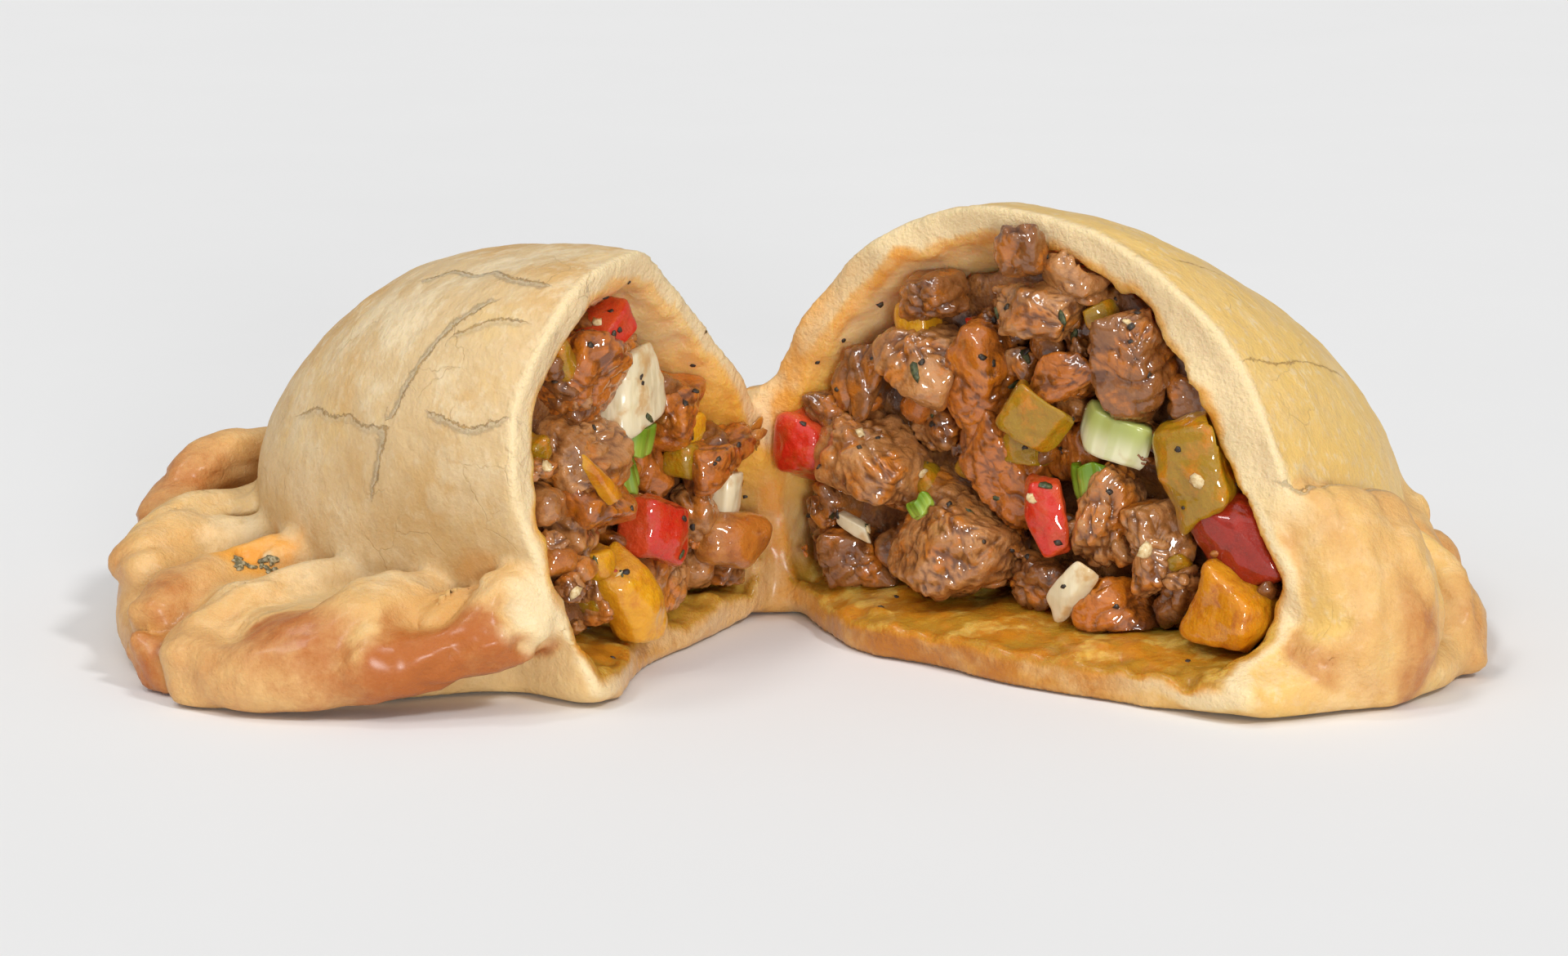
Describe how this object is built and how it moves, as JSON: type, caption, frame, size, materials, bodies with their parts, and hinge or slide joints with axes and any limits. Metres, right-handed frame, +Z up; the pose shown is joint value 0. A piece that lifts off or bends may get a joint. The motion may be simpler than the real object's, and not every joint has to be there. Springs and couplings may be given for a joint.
{
  "type": "meat empanada",
  "caption": "Baked half-moon pastry with a folded crimp, cut open and spread flat so that its diced meat and vegetable filling shows.",
  "frame": {"origin": "centre of the whole part's footprint, on the surface it rests on", "axes": "+X from the left half to the right half, -Y the way the cut faces open, +Z up from the flat base"},
  "size_m": [0.1416, 0.0882, 0.046],
  "materials": {
    "crust": "pale baked pastry, matt with a soft sheen, browned on the crimp",
    "filling_left": "moist diced meat and vegetables in an oily sauce",
    "filling_right": "moist diced meat and vegetables in an oily sauce"
  },
  "bodies": {
    "root": {"crust": "crust", "filling_left": "filling_left", "filling_right": "filling_right"}
  },
  "joints": []
}
